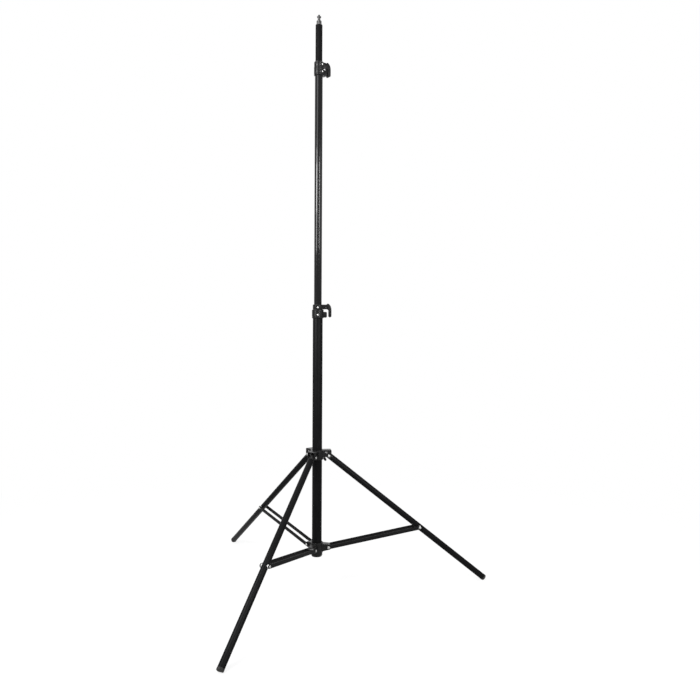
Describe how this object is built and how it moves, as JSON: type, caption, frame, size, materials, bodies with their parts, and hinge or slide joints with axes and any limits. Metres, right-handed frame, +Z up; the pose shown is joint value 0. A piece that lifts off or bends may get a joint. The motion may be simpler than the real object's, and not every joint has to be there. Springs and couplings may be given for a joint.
{
  "type": "studio stand",
  "caption": "Telescopic lighting stand with a spigot, lever locks on the column and folding tube legs held by paired braces.",
  "frame": {"origin": "centre of the column's base face, on the column's axis; the floor is 106.7 mm below it", "axes": "+Z up the column; +X along the right-hand leg"},
  "size_m": [0.8747, 1.0068, 1.8488],
  "materials": {
    "black_tube": "satin black anodised",
    "black_plastic": "black moulded, satin",
    "zinc": "zinc plated",
    "spigot_steel": "turned, plated",
    "rubber": "black rubber",
    "nylon": "natural nylon",
    "black_steel": "black oxide"
  },
  "bodies": {
    "column": {"lower_tube": "black_tube", "base_cap": "black_plastic", "lower_collar": "black_plastic", "lower_collar_screw": "zinc", "pivot_rivet_right": "zinc", "pivot_rivet_rear_left": "zinc", "pivot_rivet_front_left": "zinc", "lower_lock_body": "black_plastic", "lower_lock_pin": "black_steel", "lower_lock_shoe": "nylon", "lower_lock_screw_upper": "zinc", "lower_lock_screw_lower": "zinc"},
    "leg_collar": {"upper_collar": "black_plastic", "hinge_rivet_right": "zinc", "hinge_rivet_rear_left": "zinc", "hinge_rivet_front_left": "zinc"},
    "wing_screw": {"wing_stud": "zinc", "wing_knob": "black_plastic"},
    "mid_section": {"mid_tube": "black_tube", "mid_bush": "nylon", "upper_lock_body": "black_plastic", "upper_lock_pin": "black_steel", "upper_lock_shoe": "nylon", "upper_lock_screw_upper": "zinc", "upper_lock_screw_lower": "zinc"},
    "top_section": {"top_tube": "black_tube", "top_bush": "nylon", "top_cap": "black_plastic", "spigot": "spigot_steel"},
    "lower_lever": {"lower_lock_lever": "black_plastic"},
    "upper_lever": {"upper_lock_lever": "black_plastic"},
    "leg_right": {"leg_knuckle_right": "black_plastic", "leg_tube_right": "black_tube", "foot_right": "rubber", "brace_pin_right": "zinc"},
    "braces_right": {"brace_right_a": "black_tube", "brace_right_b": "black_tube", "brace_rivet_right_a": "zinc", "brace_rivet_right_b": "zinc"},
    "leg_rear_left": {"leg_knuckle_rear_left": "black_plastic", "leg_tube_rear_left": "black_tube", "foot_rear_left": "rubber", "brace_pin_rear_left": "zinc"},
    "braces_rear_left": {"brace_rear_left_a": "black_tube", "brace_rear_left_b": "black_tube", "brace_rivet_rear_left_a": "zinc", "brace_rivet_rear_left_b": "zinc"},
    "leg_front_left": {"leg_knuckle_front_left": "black_plastic", "leg_tube_front_left": "black_tube", "foot_front_left": "rubber", "brace_pin_front_left": "zinc"},
    "braces_front_left": {"brace_front_left_a": "black_tube", "brace_front_left_b": "black_tube", "brace_rivet_front_left_a": "zinc", "brace_rivet_front_left_b": "zinc"}
  },
  "joints": [
    {"name": "leg_fold", "type": "slide", "parent": "column", "child": "leg_collar", "axis": [0, 0, 1], "range_m": [0, 0.40298]},
    {"name": "mid_slide", "type": "slide", "parent": "column", "child": "mid_section", "axis": [0, 0, 1], "range_m": [-0.7245, 0]},
    {"name": "top_slide", "type": "slide", "parent": "mid_section", "child": "top_section", "axis": [0, 0, 1], "range_m": [-0.11, 0.59]},
    {"name": "wing_turn", "type": "hinge", "parent": "leg_collar", "child": "wing_screw", "pos_m": [0, 0, 0.32794], "axis": [0.5, 0.866, 0], "continuous": true},
    {"name": "lower_lever_open", "type": "hinge", "parent": "column", "child": "lower_lever", "pos_m": [0.02241, -0.00196, 0.8164], "axis": [-0.0872, -0.9962, 0], "range_deg": [0, 80]},
    {"name": "upper_lever_open", "type": "hinge", "parent": "mid_section", "child": "upper_lever", "pos_m": [0.01819, 0.00967, 1.58832], "axis": [0.4695, -0.8829, 0], "range_deg": [0, 80]},
    {"name": "leg_right_hinge", "type": "hinge", "parent": "leg_collar", "child": "leg_right", "pos_m": [0.038, 0, 0.33194], "axis": [0, 1, 0], "range_deg": [0, 51]},
    {"name": "braces_right_hinge", "type": "hinge", "parent": "column", "child": "braces_right", "pos_m": [0.038, 0, 0.03], "axis": [0, -1, 0], "range_deg": [0, 80]},
    {"name": "leg_rear_left_hinge", "type": "hinge", "parent": "leg_collar", "child": "leg_rear_left", "pos_m": [-0.019, 0.03291, 0.33194], "axis": [-0.866, -0.5, 0], "range_deg": [0, 51]},
    {"name": "braces_rear_left_hinge", "type": "hinge", "parent": "column", "child": "braces_rear_left", "pos_m": [-0.019, 0.03291, 0.03], "axis": [0.866, 0.5, 0], "range_deg": [0, 80]},
    {"name": "leg_front_left_hinge", "type": "hinge", "parent": "leg_collar", "child": "leg_front_left", "pos_m": [-0.019, -0.03291, 0.33194], "axis": [0.866, -0.5, 0], "range_deg": [0, 51]},
    {"name": "braces_front_left_hinge", "type": "hinge", "parent": "column", "child": "braces_front_left", "pos_m": [-0.019, -0.03291, 0.03], "axis": [-0.866, 0.5, 0], "range_deg": [0, 80]}
  ],
  "couplings": [
    {"joint": "leg_right_hinge", "follows": "leg_fold", "rad_per_m": 2.2088},
    {"joint": "braces_right_hinge", "follows": "leg_fold", "rad_per_m": 3.4648},
    {"joint": "leg_rear_left_hinge", "follows": "leg_fold", "rad_per_m": 2.2088},
    {"joint": "braces_rear_left_hinge", "follows": "leg_fold", "rad_per_m": 3.4648},
    {"joint": "leg_front_left_hinge", "follows": "leg_fold", "rad_per_m": 2.2088},
    {"joint": "braces_front_left_hinge", "follows": "leg_fold", "rad_per_m": 3.4648}
  ]
}
